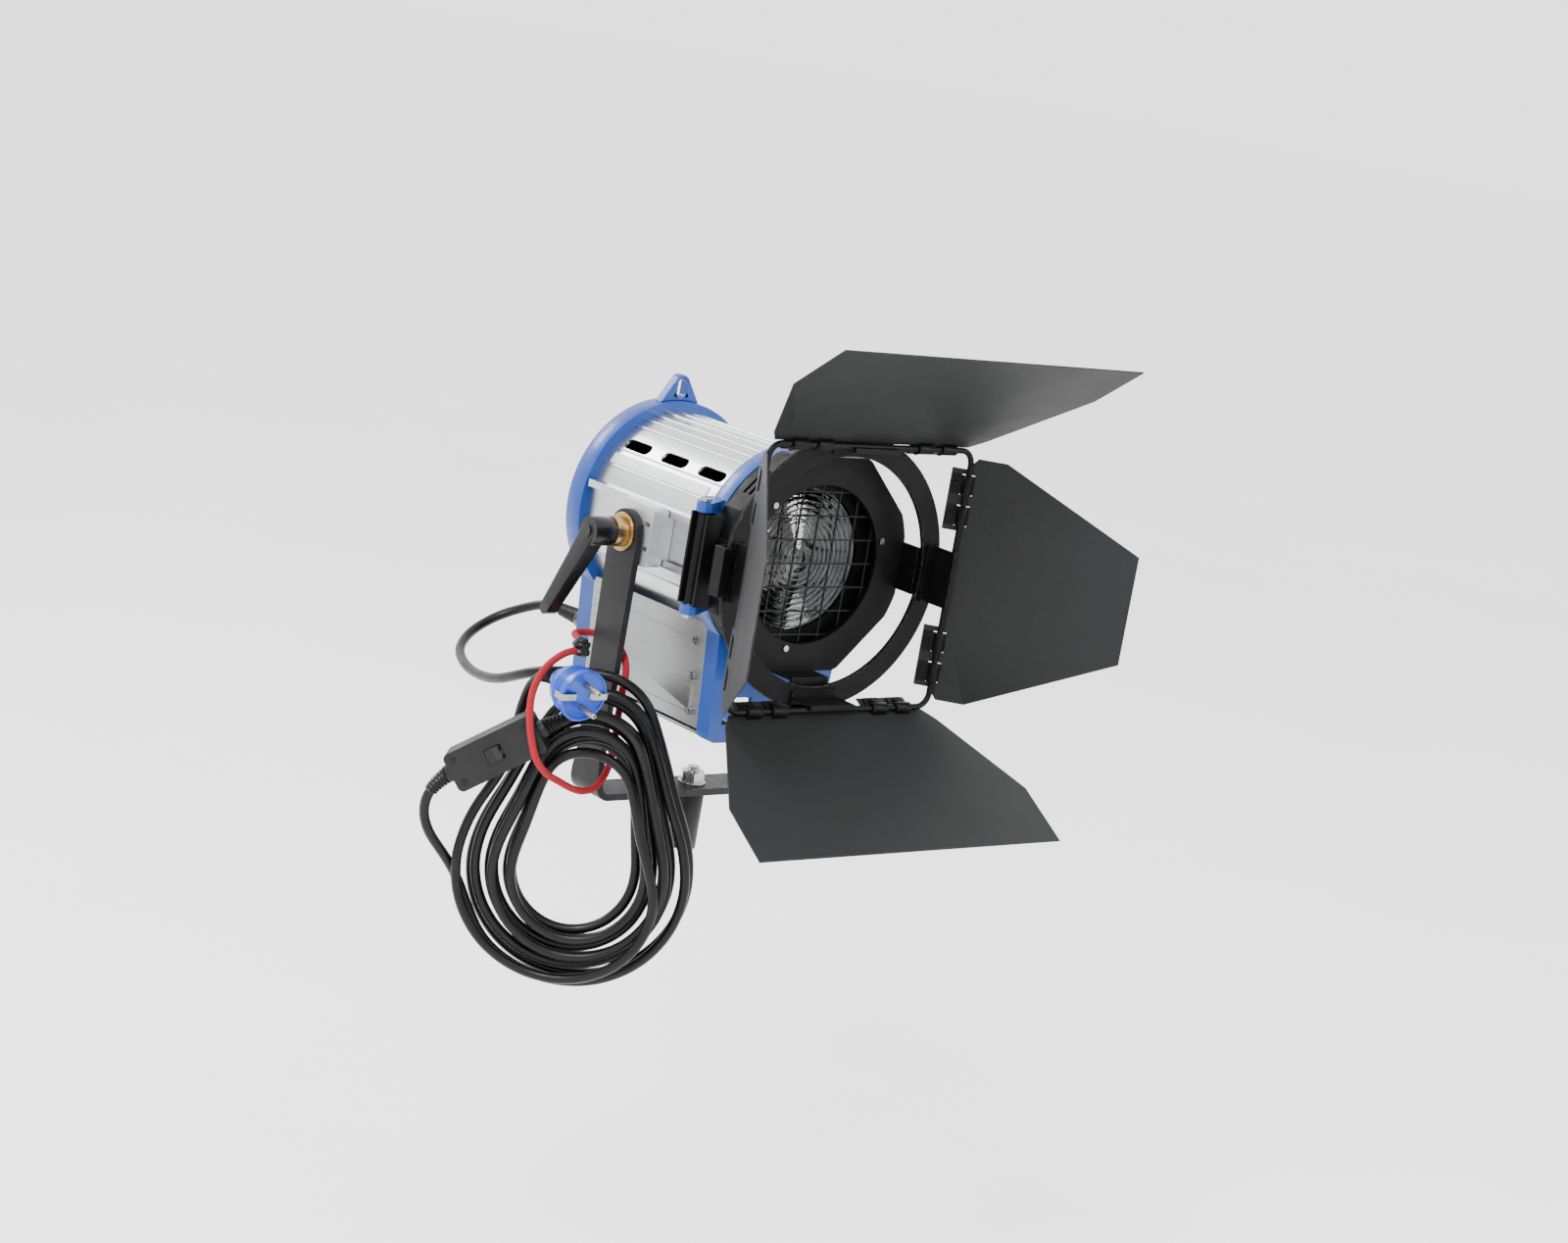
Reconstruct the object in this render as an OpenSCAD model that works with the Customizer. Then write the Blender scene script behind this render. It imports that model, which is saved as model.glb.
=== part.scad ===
// Fresnel spotlight: a tube housing with a stepped lens in a hinged door, four-leaf barn doors,
// a tilting yoke with a spigot socket, and a mains lead coiled and tied to one yoke arm.
// Millimetres. +Z is up, the lens faces -Y, +X is the latch side of the lens door.
// The origin is the centre of the spigot socket's mouth. Head sizes are taken from the tilt axis.

/* [Node] */
// The node to build, or all of them

/* [Yoke] */
// Height of the tilt axis above the socket mouth
pivot_height = 277; // [260:1:300]
// Half the gap between the yoke arms
arm_inner = 110; // [108:1:120]
// Thickness of the yoke's flat bar
bar_thick = 6; // [4:0.5:8]
// Width of the yoke's flat bar at the pivots
bar_width = 38; // [30:1:44]
// Height of the crossbar's top face above the socket mouth
crossbar_top = 57; // [50:1:70]
// Radius of the spigot socket's bore, for a 16 mm spigot
socket_bore_r = 8.1; // [8.05:0.05:8.3]
// Depth of the spigot socket's bore
socket_depth = 45; // [38:1:50]
// Reach of the clamping lever from the tilt axis
lever_reach = 80; // [60:1:84]

/* [Housing] */
// Outside radius of the tube
tube_r = 84; // [80:0.5:88]
// Outside radius of both cast rings
casting_r = 93; // [90:0.5:96]
// Front face of the front casting
casting_front = -82; // [-86:1:-78]
// Front end of the tube
tube_front = -65.5; // [-68:0.5:-60]
// Rear end of the tube
tube_rear = 93.2; // [85:0.2:100]
// Rear face of the rear casting
casting_rear = 112; // [108:1:116]
// Half the base's width at its top
base_half_top = 66; // [62:1:70]
// Half the base's width at its bottom
base_half_bottom = 60; // [54:1:64]
// Depth of the base's underside below the lens axis
base_bottom = 158; // [150:1:165]

/* [Lens door] */
// Radius of the stepped lens
lens_r = 70; // [65:1:72]
// Radius of the door's front opening
opening_r = 67; // [64:1:70]
// Front face of the door
door_front = -108; // [-112:1:-104]
// Number of raised steps on the lens
lens_steps = 10; // [6:1:12]
// Pitch of the wire guard's mesh
guard_pitch = 20; // [14:1:26]

/* [Barn doors] */
// Inside radius of the accessory ring
ring_inner_r = 96; // [92:1:98]
// Outside radius of the accessory ring
ring_outer_r = 115; // [112:0.5:116]
// Front face of the accessory ring
ring_front = -133; // [-136:1:-131]
// Distance of the rod frame in front of the tilt axis
frame_ahead = 155; // [152:1:160]
// Half the side of the square rod frame, to the rod's centre line
frame_half = 109; // [106:1:112]
// Radius of the frame's rod
rod_r = 2.5; // [2:0.25:3]
// Opening angle of the top leaf, outward from straight ahead
angle_top = 36.5; // [0:0.5:80]
// Opening angle of the right leaf
angle_right = 45; // [0:0.5:80]
// Opening angle of the bottom leaf
angle_bottom = 29; // [0:0.5:80]
// Opening angle of the left leaf
angle_left = 35; // [0:0.5:80]

/* [Lead] */
// Radius of the mains lead
cable_r = 4.25; // [3.5:0.05:5]
// Heading of the hung coil's width, about +Z from +X
coil_turn = -42; // [-50:1:-30]
// Half the coil's thickness
coil_half_thick = 13.5; // [12:0.5:15]

/* [Hidden] */
$fn = 96;
arm_outer = arm_inner + bar_thick;
crossbar_bottom = crossbar_top - bar_thick;
pivot_stud_r = 5.95;
pivot_bore_r = 6;
shell = 2.5;
// bore around each of the carriage's guide rods
rod_seat_r = 3.05;
// the door's vertical hinge axis, and the latch's
door_pin = [-107, -87];
latch_pin = [99, -70.5];
// the focus knob's and the gland's places on the rear wall, as x and z from the lens axis
knob_at = [22, -122];
gland_at = [-48, -108];
// the middle of the coil, from the tilt axis
coil_at = [-134, -30, 0];
// the lamp lead's route from its sleeve to the coil's top, in the row frame
lead_route = [
  [-48, 156, 169], [-48, 176, 168], [-55, 197, 160], [-75, 213, 147], [-101, 211, 134],
  [-123, 193, 125], [-138, 165, 121], [-149, 134, 121], [-158, 102, 125], [-165, 70, 133],
  [-168, 42, 144], [-165, 18, 154],
];
// the elastic tie's route from the toggle over the switch, through the coil and round the yoke arm,
// in the coil's frame
tie_route = [
  [-26, 2, -98], [-31, -8, -97], [-39, -22, -100], [-48, -36, -110], [-53, -44, -127],
  [-52, -47, -146], [-48, -47, -164], [-42, -46, -180], [-33, -37, -193], [-23, -25, -201],
  [-13, -14, -208], [-4, -3, -212], [5, 8, -210], [12, 17, -197], [14, 19, -174],
  [14, 19, -150], [14, 21, -130], [14, 27, -114], [10, 37, -104], [2, 48, -98], [-9, 57, -95],
  [-20, 61, -94], [-30, 57, -94], [-34, 48, -94], [-31, 36, -94], [-27, 23, -94], [-24, 8, -94],
];
steel = [0.6, 0.6, 0.62];
black = [0.08, 0.08, 0.09];
silver = [0.75, 0.76, 0.78];
blue = [0.16, 0.36, 0.75];
brass = [0.72, 0.56, 0.28];
rubber = [0.05, 0.05, 0.05];
red = [0.75, 0.1, 0.15];

// ---- helpers ----

module at_pivot() translate([0, 0, pivot_height]) children();

// a flat shape drawn in X and Z, made solid from y0 back to y1
module slab(y0, y1) translate([0, y1, 0]) rotate([90, 0, 0]) linear_extrude(y1 - y0) children();

module disc_y(r, y0, y1) translate([0, y1, 0]) rotate([90, 0, 0]) cylinder(r = r, h = y1 - y0);

module disc_x(r, x0, x1) translate([x0, 0, 0]) rotate([0, 90, 0]) cylinder(r = r, h = x1 - x0);

module block(from, to) translate(from) cube(to - from);

// a rectangle about the origin with rounded corners
module round_rect(half_x, half_y, r) {
  square([2 * half_x, 2 * (half_y - r)], center = true);
  square([2 * (half_x - r), 2 * half_y], center = true);
  for (sx = [-1, 1], sy = [-1, 1]) translate([sx * (half_x - r), sy * (half_y - r)]) circle(r);
}

// a round-ended slot along Y, cut inward from the tube's wall
module wall_slot(length, width, y) translate([0, y, 0]) {
  block([tube_r - 8, -(length - width) / 2, -width / 2], [tube_r + 4, (length - width) / 2, width / 2]);
  for (s = [-1, 1]) translate([0, s * (length - width) / 2, 0]) disc_x(width / 2, tube_r - 8, tube_r + 4);
}

// ---- swept tubes ----

function unit(v) = v / norm(v);
function tangent(p, i) = unit(p[min(i + 1, len(p) - 1)] - p[max(i - 1, 0)]);
function ring_at(p, i, r, sides, side_ref) =
  let (t = tangent(p, i), u = unit(cross(t, side_ref)), w = cross(t, u))
  [for (k = [0:sides - 1]) p[i] + r * (cos(360 * k / sides) * u + sin(360 * k / sides) * w)];

module swept_tube(p, r, side_ref, sides = 8) {
  n = len(p);
  walls = [for (i = [0:n - 2], k = [0:sides - 1]) let (m = (k + 1) % sides)
    [i * sides + k, (i + 1) * sides + k, (i + 1) * sides + m, i * sides + m]];
  caps = [[for (k = [0:sides - 1]) k], [for (k = [sides - 1:-1:0]) (n - 1) * sides + k]];
  polyhedron([for (i = [0:n - 1]) each ring_at(p, i, r, sides, side_ref)], concat(walls, caps));
}

// ---- yoke ----

module yoke_outline() difference() {
  hull() {
    for (s = [-1, 1]) translate([s * (arm_outer - 14), crossbar_bottom + 14]) circle(14);
    translate([-arm_outer, pivot_height]) square([2 * arm_outer, bar_width]);
  }
  hull() {
    for (s = [-1, 1]) translate([s * (arm_inner - 8), crossbar_top + 8]) circle(8);
    translate([-arm_inner, pivot_height]) square([2 * arm_inner, 2 * bar_width]);
  }
}

module yoke_strap() color(black) difference() {
  intersection() {
    slab(-bar_width / 2, bar_width / 2) yoke_outline();
    rotate([90, 0, 90]) linear_extrude(3 * arm_outer, center = true) {
      translate([0, pivot_height]) circle(bar_width / 2);
      for (m = [0, 1]) mirror([m, 0])
        polygon([[0, pivot_height], [bar_width / 2, pivot_height], [16, 90], [19, 70], [19, 40], [0, 40]]);
    }
  }
  at_pivot() disc_x(pivot_bore_r, -2 * arm_outer, 2 * arm_outer);
  cylinder(r = 5, h = crossbar_top + 1);
}

module spigot_socket() color(black) difference() {
  union() {
    cylinder(r = 12.5, h = crossbar_bottom);
    translate([0, 0, 22]) disc_y(7.5, 8.5, 19);
  }
  translate([0, 0, -1]) cylinder(r = socket_bore_r, h = socket_depth + 1);
  cylinder(r = 5, h = crossbar_bottom + 1);
  translate([0, 0, 22]) disc_y(4, 5, 20);
}

module socket_bolt() color(steel) {
  translate([0, 0, socket_depth + 1]) cylinder(r = 5, h = 26);
  translate([0, 0, crossbar_top]) difference() {
    union() {
      cylinder(r = 12, h = 1.8);
      translate([0, 0, 1.8]) cylinder(r = 10.8, h = 9, $fn = 6);
    }
    cylinder(r = 5, h = 30, center = true);
  }
}

module lock_screw() color(steel) translate([0, 0, 22]) {
  disc_y(3.93, 9, 22);
  disc_y(6.5, 19.4, 30);
  translate([0, 25.5, 0]) cylinder(r = 2.6, h = 46, center = true);
  for (s = [-1, 1]) translate([0, 25.5, s * 23]) sphere(4.2, $fn = 32);
}

module clamp_washers() color(brass) at_pivot() for (s = [-1, 1]) difference() {
  disc_x(16, min(s * arm_outer, s * (arm_outer + 3)), max(s * arm_outer, s * (arm_outer + 3)));
  disc_x(pivot_bore_r, -2 * arm_outer, 2 * arm_outer);
}

// ---- clamping lever ----

module lever_insert() color(brass) at_pivot() difference() {
  union() {
    disc_x(12.5, -130, -119.3);
    disc_x(7, -150, -130);
  }
  disc_x(pivot_bore_r, -134, -119);
}

module lever_handle() color(black) at_pivot() difference() {
  union() {
    disc_x(12, -152, -130.4);
    hull() {
      disc_x(8.5, -152, -138);
      translate([0, 0.41 * lever_reach, -0.91 * lever_reach]) disc_x(5.5, -160, -149);
    }
    disc_x(5, -154, -152);
  }
  disc_x(7.4, -150.4, -130);
}

// ---- housing ----

module tube_shell() color(silver) at_pivot() difference() {
  slab(tube_front, tube_rear) difference() {
    union() {
      circle(tube_r);
      for (a = [64:7.4:124]) rotate(a) translate([tube_r, 0]) circle(1.3, $fn = 24);
      for (a = [27, 38, 142, 153, 207, 333]) rotate(a) translate([tube_r, 0]) circle(1, $fn = 24);
    }
    circle(tube_r - shell);
  }
  for (a = [43, 137], y = [-34, 16, 67]) rotate([0, -a, 0]) wall_slot(34, 11, y);
}

module rail_profile() difference() {
  union() {
    translate([78, -24]) square([7, 48]);
    for (s = [-1, 1]) {
      translate([84, s * 22.5 - 1.5]) square([7, 3]);
      translate([89, s * 19.5 - 1.5]) square([2, 3.1]);
    }
  }
  circle(tube_r);
}

module side_rails() color(silver) at_pivot() slab(-60, 89) for (s = [0, 1]) mirror([s, 0]) rail_profile();

module label_plate() color([0.82, 0.83, 0.84]) at_pivot() slab(-44, 86) difference() {
  intersection() {
    circle(tube_r + 0.7);
    polygon([[0, 0], 120 * [cos(145), sin(145)], 120 * [cos(151.5), sin(151.5)]]);
  }
  circle(tube_r);
}

module base_outline(inset) hull() {
  for (s = [-1, 1]) {
    translate([s * (base_half_bottom - 8), 8 - base_bottom]) circle(8 - inset);
    translate([s * (base_half_top - 6), -60]) circle(6 - inset);
  }
}

module casting_outline() {
  circle(casting_r);
  base_outline(0);
}

// the base's inside, below the round part
module base_pocket() difference() {
  base_outline(4);
  circle(casting_r - 4);
}

module hinge_lug() difference() {
  hull() {
    translate([-92, -76]) square([16, 10]);
    translate(door_pin) circle(7);
  }
  translate(door_pin) circle(3);
}

module front_casting() color(blue) at_pivot() {
  difference() {
    slab(casting_front, tube_front) casting_outline();
    slab(casting_front - 1, tube_front + 1) circle(76);
    rod_places() disc_y(rod_seat_r, tube_front - 6, tube_front + 1);
    slab(casting_front + 4, tube_front + 1) base_pocket();
    for (z = [-104, -122, -140], s = [-1, 1]) translate([s * 34, 0, z])
      block([-14, casting_front - 1, -2.5], [14, casting_front + 5, 2.5]);
  }
  for (s = [-1, 1]) translate([0, 0, s * 42 - 4]) linear_extrude(8) hinge_lug();
  // latch post on the other side, with a bored barrel for the latch's pin
  difference() {
    union() {
      block([84, -74, -5], [97, -67, 5]);
      translate([latch_pin[0], latch_pin[1], -5]) cylinder(r = 4, h = 10);
    }
    translate([latch_pin[0], latch_pin[1], -6]) cylinder(r = 2, h = 12);
  }
}

module eye_profile() difference() {
  hull() {
    translate([-22, 84]) square([44, 5]);
    translate([0, 107]) circle(8.5);
  }
  hull() for (z = [100, 108]) translate([0, z]) circle(4.2);
}

module safety_eye() color(blue) at_pivot() slab(98, 107) difference() {
  eye_profile();
  circle(casting_r);
}

module rear_casting() color(blue) at_pivot() difference() {
  slab(tube_rear, casting_rear) casting_outline();
  slab(tube_rear - 1, casting_rear + 1) circle(76);
  slab(tube_rear - 1, casting_rear - 4) base_pocket();
  rod_places() disc_y(rod_seat_r, tube_rear - 1, 99);
  translate([gland_at[0], 0, gland_at[1]]) disc_y(6, 100, 120);
  translate([knob_at[0], 0, knob_at[1]]) disc_y(5, 100, 120);
}

module rear_cover() color(black) at_pivot() slab(99, 103) difference() {
  circle(76);
  for (z = [-48:12:48]) translate([0, z]) square([0.8 * sqrt(76 * 76 - z * z) * 2, 5], center = true);
}

// a side panel's outer face at height z below the lens axis
function panel_x(z) = base_half_top - (base_half_top - base_half_bottom) * (-60 - z) / 92;

module side_panels() color(silver) at_pivot() for (s = [-1, 1]) difference() {
  slab(tube_front, tube_rear) polygon([for (q = [[0, -61], [-2, -61], [-2, -150], [0, -150]])
    [s * (panel_x(q[1]) + q[0]), q[1]]]);
  screw_places() disc_x(2, -90, 90);
}

module screw_places() for (y = [-54, 82], z = [-78, -108, -138]) translate([0, y, z]) children();

module panel_screws() color(steel) at_pivot() for (s = [0, 1]) mirror([s, 0, 0])
  for (y = [-54, 82], z = [-78, -108, -138]) translate([panel_x(z), y, z]) {
    disc_x(2, -4, 0.3);
    disc_x(3.4, 0.25, 1.8);
  }

module base_floor() color(silver) at_pivot() difference() {
  block([-52, tube_front, -base_bottom], [52, tube_rear, 3 - base_bottom]);
  for (x = [-36:12:36]) block([x - 2.5, -36, -base_bottom - 1], [x + 2.5, 66, 5 - base_bottom]);
}

module pivot_block() color(silver) at_pivot() difference() {
  union() {
    block([-88.6, -25, -20], [-85.4, 25, 20]);
    block([-92, -25, -17.6], [-88.6, 25, 17.6]);
    translate([-107, 0, 0]) rotate([90, 0, 90]) linear_extrude(15) round_rect(25, 25, 5);
  }
  disc_x(pivot_stud_r, -120, -80);
  for (z = [-10, 10]) block([-120, -22, z - 2], [-101, -14, z + 2]);
}

module pivot_block_left() pivot_block();
module pivot_block_right() mirror([1, 0, 0]) pivot_block();

module pivot_studs() color(steel) at_pivot() {
  disc_x(pivot_stud_r, -132, -85.4);
  disc_x(pivot_stud_r, 85.4, 131);
  difference() {
    disc_x(13, 119.4, 128, $fn = 6);
    disc_x(pivot_stud_r, 80, 140);
  }
}

module friction_washers() color(rubber) at_pivot() for (s = [0, 1]) mirror([s, 0, 0]) difference() {
  disc_x(17, 107, 109.9);
  disc_x(pivot_stud_r, 100, 120);
}

module hinge_pin() color(steel) at_pivot() translate([door_pin[0], door_pin[1], -47])
  { cylinder(r = 3, h = 94); for (z = [-2, 93]) translate([0, 0, z]) cylinder(r = 4.5, h = 3); }

module cable_gland() color(black) at_pivot() translate([gland_at[0], 0, gland_at[1]]) difference() {
  union() {
    disc_y(6, casting_rear - 6, casting_rear);
    translate([0, casting_rear + 6, 0]) rotate([90, 0, 0]) cylinder(r = 10.5, h = 6, $fn = 6);
    disc_y(9, casting_rear + 6, casting_rear + 13);
  }
  disc_y(cable_r, 100, 140);
}

module strain_relief() color(rubber) at_pivot() translate([gland_at[0], 0, gland_at[1]]) difference() {
  translate([0, casting_rear + 13, 0]) rotate([-90, 0, 0]) cylinder(r1 = 7.5, r2 = 5.6, h = 31);
  disc_y(cable_r, 100, 170);
}

// ---- lamp carriage and focus drive ----

module rod_places() for (s = [-1, 1]) translate([s * 34, 0, -66]) children();

module guide_rods() color(steel) at_pivot() rod_places() disc_y(3, tube_front - 6, 99);

module focus_spindle() color(steel) at_pivot() translate([knob_at[0], 0, knob_at[1]]) disc_y(4.9, 60, 124);

module lamp_carriage() color(silver) at_pivot() difference() {
  union() {
    block([-44, -14, -62.5], [44, 34, -59.5]);
    for (s = [-1, 1]) block([s * 34 - 5, -14, -70.5], [s * 34 + 5, 34, -62.5]);
    block([-20, 24, -59.5], [20, 27, -30]);
  }
  rod_places() disc_y(rod_seat_r, -20, 40);
}

module reflector() color([0.85, 0.86, 0.88]) at_pivot() translate([0, -14, 0]) rotate([-90, 0, 0])
  rotate_extrude() intersection() {
    difference() { circle(44); circle(42.6); }
    translate([0, 18]) square([34, 30]);
  }

module lamp_holder() color([0.9, 0.88, 0.82]) at_pivot() translate([0, -4, 0])
  block([-14, -10, -59.5], [14, 10, -38]);

module bulb() color([0.9, 0.92, 0.95, 0.4]) at_pivot() translate([0, -4, 0]) rotate_extrude()
  polygon([[0, -38], [7, -38], [7, -30], [12, -24], [12.5, 8], [9, 15], [3, 18], [0, 18]]);

module focus_knob() color(black) at_pivot() translate([knob_at[0], 0, knob_at[1]]) difference() {
  union() {
    disc_y(17, casting_rear + 1, casting_rear + 5);
    disc_y(14.5, casting_rear + 5, casting_rear + 19);
    for (a = [0:30:330]) rotate([0, a, 0]) translate([14, 0, 0])
      disc_y(2, casting_rear + 5, casting_rear + 18);
  }
  disc_y(5, casting_rear, casting_rear + 12.5);
  translate([-1, casting_rear + 17.5, 3]) cube([2, 3, 12]);
}

// ---- lens door ----

module door_outline() intersection() {
  circle(98);
  intersection() {
    square([190, 180], center = true);
    rotate(45) square(186, center = true);
  }
}

module door_frame() color(black) at_pivot() difference() {
  union() {
    disc_y(92.5, -88, casting_front - 0.5);
    slab(door_front, -88) door_outline();
  }
  disc_y(74, -103.5, casting_front + 1);
  disc_y(opening_r, door_front - 1, -100);
  // vents in the slanted sides, one pair each
  for (a = [45:90:315], y = [-94, -101]) rotate([0, a, 0]) block([70, y - 1.6, -14], [110, y + 1.6, 14]);
}

module hinge_channel() color(black) at_pivot() translate([0, 0, -37.4]) linear_extrude(74.8) difference() {
  union() {
    translate([-101, -101]) square([2.6, 21]);
    translate([-114, -101]) square([13, 2.4]);
    translate([-114, -82]) square([13, 2.2]);
    translate([-104, door_pin[1] - 2]) square([4, 4]);
    translate(door_pin) circle(4.6);
  }
  translate(door_pin) circle(3.06);
}

module lens() color([0.85, 0.93, 0.92, 0.4]) at_pivot() rotate([90, 0, 0]) rotate_extrude() {
  step = 64 / lens_steps;
  polygon(concat(
    [[0, 78.5], [lens_r, 78.5], [lens_r, 82.5], [64, 82.5]],
    [for (i = [lens_steps - 1:-1:0]) each [[(i + 1) * step, 83.5 + 3.2 * (lens_steps - i - 1) / lens_steps],
      [i * step + (i == 0 ? 0 : 0.4), 86.5 + 0.3 * (lens_steps - i)]]]
  ));
}

module lens_ring() color(black) at_pivot() difference() {
  disc_y(74, -90.5, -87.6);
  disc_y(60, -92, -86);
}

module wire_guard() color(steel) at_pivot() slab(-103.5, -102.3) {
  difference() { circle(72); circle(70); }
  intersection() {
    circle(71);
    for (i = [-3:3]) {
      translate([i * guard_pitch - 0.6, -80]) square([1.2, 160]);
      translate([-80, i * guard_pitch - 0.6]) square([160, 1.2]);
    }
  }
}

module guard_screws() color(steel) at_pivot() for (a = [17, 137, 257]) rotate([0, -a, 0])
  translate([72, 0, 0]) disc_y(2.6, door_front - 1.6, door_front);

// a hook that carries the accessory ring, drawn for the +X side with its foot this far out
module claw(foot) difference() {
  linear_extrude(40, center = true) {
    translate([foot, -126.6]) square([3, 35]);
    translate([foot, -126.6]) square([121 - foot, 2.6]);
    translate([117.5, -136.4]) square([3.5, 12]);
    translate([112.5, -136.4]) square([8, 2.4]);
  }
  translate([0, -98, 0]) for (z = [-10, 10]) translate([0, 0, z]) disc_x(2, foot - 5, foot + 5);
}

module claws() color(black) at_pivot() {
  claw(95);
  mirror([1, 0, 0]) claw(95);
  rotate([0, 90, 0]) claw(90);
}

module door_latch() color(steel) at_pivot() {
  difference() {
    translate([0, 0, -11]) linear_extrude(22) {
      translate([97.6, -90.5]) square([2.6, 20]);
      translate([95.5, -90.5]) square([3, 2.5]);
      hull() for (d = [3.5, 10]) translate([latch_pin[0] + d, latch_pin[1] + d - 0.5]) circle(1.5);
      translate(latch_pin) circle(4);
    }
    // room for the post's barrel
    block([90, -75.2, -5.3], [104.2, -65.8, 5.3]);
  }
  translate([latch_pin[0], latch_pin[1], -10]) cylinder(r = 1.95, h = 20);
}

module top_latch() color(steel) at_pivot() rotate([0, 0, 90]) rotate([90, 0, 0])
  linear_extrude(24, center = true) difference() {
    union() {
      translate([-100, 95]) circle(4);
      translate([-128, 95]) square([28, 2.6]);
      translate([-128, 95]) square([2.6, 25]);
      translate([-136.4, 117.4]) square([11, 2.6]);
      translate([-136.4, 112.5]) square([2.4, 6]);
    }
    translate([-100, 95]) circle(2);
  }

// ---- barn doors ----

module barn_ring() color(black) at_pivot() slab(ring_front, ring_front + 4) difference() {
  circle(ring_outer_r);
  circle(ring_inner_r);
}

module ring_brackets() color(black) at_pivot() for (a = [0:90:270]) rotate([0, a, 0])
  translate([0, 0, -24]) linear_extrude(48) {
    translate([98, ring_front - 2]) square([12, 2]);
    translate([104.2, -151]) square([2, 17]);
    translate([104.2, -160]) square([2, 10]);
    translate([104.2, -160]) square([4, 1.8]);
  }

module rod_frame() color(black) at_pivot() {
  bend = 12;
  half = frame_half - bend;
  for (a = [0:90:270]) translate([0, -frame_ahead, 0]) rotate([0, a, 0]) {
    translate([frame_half, 0, -half]) cylinder(r = rod_r, h = 2 * half);
    translate([half, 0, half]) rotate([90, 0, 0]) rotate_extrude(angle = 90)
      translate([bend, 0]) circle(rod_r, $fn = 48);
  }
}

// places a leaf drawn flat (hinge on X, leaf toward +Y) on the rod at the given side and angle
module on_rod(side, angle) at_pivot() rotate([0, side, 0])
  translate([0, -frame_ahead, frame_half]) rotate([-angle, 0, 0]) mirror([0, 1, 0]) children();

module leaf_slots() for (s = [-1, 1], u = [54, 80]) translate([s * u, 0]) square([17.4, 10.5], center = true);

module big_leaf() translate([0, 0, 2.9]) linear_extrude(1.3) difference() {
  union() {
    polygon([[-104, 0], [-114, 12], [-160, 94], [-157, 153], [163, 151], [160, 96], [114, 12], [104, 0]]);
    for (s = [-1, 1]) translate([s * 67, -7]) square([52, 15], center = true);
  }
  leaf_slots();
}

module small_leaf() translate([0, 0, 2.9]) linear_extrude(1.3) difference() {
  union() {
    polygon([[-96, 0], [-103, 6], [-103, 30], [-46, 150], [46, 150], [103, 30], [103, 6], [96, 0]]);
    for (s = [-1, 1]) translate([s * 67, -7]) square([52, 15], center = true);
  }
  leaf_slots();
}

module straps() for (s = [-1, 1], u = [54, 80]) translate([s * u, 0, 0]) difference() {
  union() {
    disc_x(4.4, -8, 8);
    block([-8, -13.5, 1.5], [8, 0, 2.9]);
    block([-8, 0, 3], [8, 12, 4.2]);
    block([-8, 5.3, 4.2], [8, 12, 5.4]);
    translate([0, -9.5, -0.2]) cylinder(r = 2.6, h = 2, $fn = 6);
  }
  disc_x(rod_r + 0.06, -10, 10);
  block([-8.1, -5.25, 2.9], [8.1, -9, 8]);
  block([-8.1, 5.25, 2.9], [8.1, 12.1, 4.2]);
}

module leaf_top() color(black) on_rod(0, angle_top) big_leaf();
module leaf_right() color(black) on_rod(90, angle_right) small_leaf();
module leaf_bottom() color(black) on_rod(180, angle_bottom) big_leaf();
module leaf_left() color(black) on_rod(270, angle_left) small_leaf();
module straps_top() color(black) on_rod(0, angle_top) straps();
module straps_right() color(black) on_rod(90, angle_right) straps();
module straps_bottom() color(black) on_rod(180, angle_bottom) straps();
module straps_left() color(black) on_rod(270, angle_left) straps();

// ---- lead, coil, switch, plug and tie ----

// the coil's own frame: X along its width, -Y out toward the front, Z up, from the tilt axis
module at_coil() at_pivot() translate(coil_at) rotate([0, 0, coil_turn]) children();

module lamp_lead() color(rubber) swept_tube(lead_route, cable_r, [0, 0, 1]);

module cable_coil() color(rubber) at_coil() slab(-coil_half_thick, coil_half_thick) difference() {
  hull() {
    translate([0, -167]) circle(52);
    translate([0, -282]) circle(98);
  }
  hull() {
    translate([0, -222]) circle(29);
    translate([0, -282]) circle(31);
  }
}

// the in-line switch's own frame: X along the box
module at_box() at_coil() translate([-76, -27, -184]) rotate([0, -36, 0]) children();

module switch_box() color(black) at_box() difference() {
  union() {
    slab(-13, 13) round_rect(40, 17, 5);
    disc_x(7.5, -45, 45);
  }
  translate([0, -8, 0]) cylinder(r = 9.1, h = 12.4, center = true);
}

module box_screws() color(steel) at_box() for (x = [-33, 33], z = [-10, 10]) translate([x, 0, z])
  disc_y(2.4, -14, -13);

module switch_rocker() color(black) at_box() linear_extrude(12, center = true) intersection() {
  translate([0, -8]) circle(9);
  polygon([[-9, -3], [-9, -14.6], [0, -14.2], [9, -16.6], [9, -3]]);
}

// the plug's own frame: Z along its pins, from the back of its body
module at_plug() at_coil() translate([-36, -30, -115]) rotate([0, 96, -50]) children();

module plug_body() color(blue) at_plug() difference() {
  union() {
    cylinder(r1 = 8, r2 = 12, h = 14);
    translate([0, 0, 14]) cylinder(r1 = 16, r2 = 20, h = 8);
    translate([0, 0, 22]) cylinder(r = 20, h = 12);
    translate([0, 0, 34]) cylinder(r = 21.5, h = 6);
  }
  for (s = [-1, 1]) translate([0, s * 19.5, 36]) cube([6, 4, 12], center = true);
}

module plug_pins() color(steel) at_plug() {
  for (s = [-1, 1]) {
    translate([s * 9.5, 0, 40]) cylinder(r = 2.4, h = 19);
    translate([0, s * 18, 42.5]) cube([5, 1.2, 5], center = true);
  }
}

module tie_cord() color(red) at_coil() swept_tube(tie_route, 3, [0.3, 0.2, 1]);

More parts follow.
